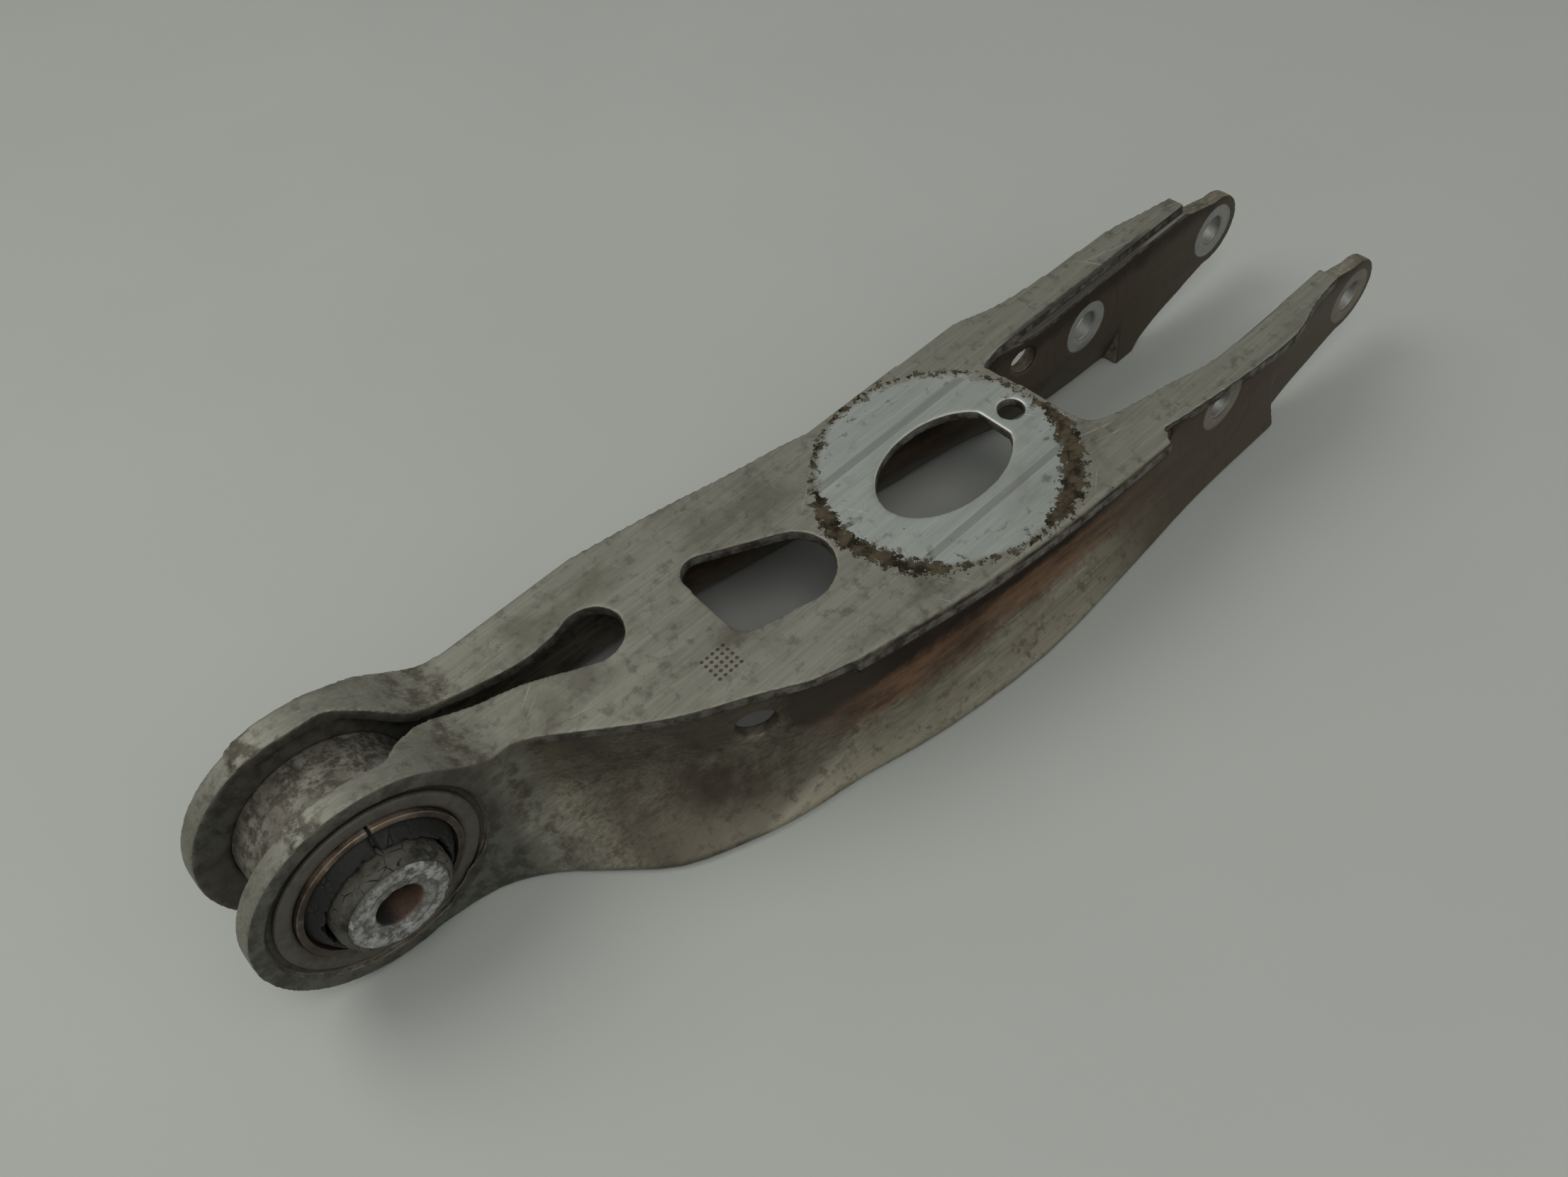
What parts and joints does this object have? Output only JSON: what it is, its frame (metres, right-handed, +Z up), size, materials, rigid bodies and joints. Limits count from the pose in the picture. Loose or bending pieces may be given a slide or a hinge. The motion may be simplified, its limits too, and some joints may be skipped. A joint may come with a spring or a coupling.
{
  "type": "rear spring link control arm",
  "caption": "Aluminium suspension control arm: a bent open-bottomed channel with a spring seat, a forked bolt end and a rubber-metal bush between two round ears.",
  "frame": {"origin": "centre of the bush's inner sleeve, on its bore axis", "axes": "+X from the bush to the fork, +Y along the bush bore, +Z up through the spring seat; metres"},
  "size_m": [0.4988, 0.1366, 0.0914],
  "materials": {
    "cast_aluminium": "weathered, drawn grain with grime",
    "sleeve_aluminium": "oxidised, speckled",
    "shell_metal": "dull, stained",
    "black_rubber": "matt, cracked",
    "inner_metal": "corroded end face, rusty bore"
  },
  "bodies": {
    "arm": {"arm_body": "cast_aluminium", "bush_outer_sleeve": "sleeve_aluminium", "bush_half_shell_a": "shell_metal", "bush_half_shell_b": "shell_metal", "bush_rubber": "black_rubber"},
    "core": {"bush_inner_sleeve": "inner_metal"}
  },
  "joints": [
    {"name": "bush_twist", "type": "hinge", "parent": "arm", "child": "core", "pos_m": [0, 0, 0], "axis": [0, 1, 0], "range_deg": [-20, 20], "stiffness_Nm_per_rad": 120, "deforming": ["bush_rubber"]}
  ]
}
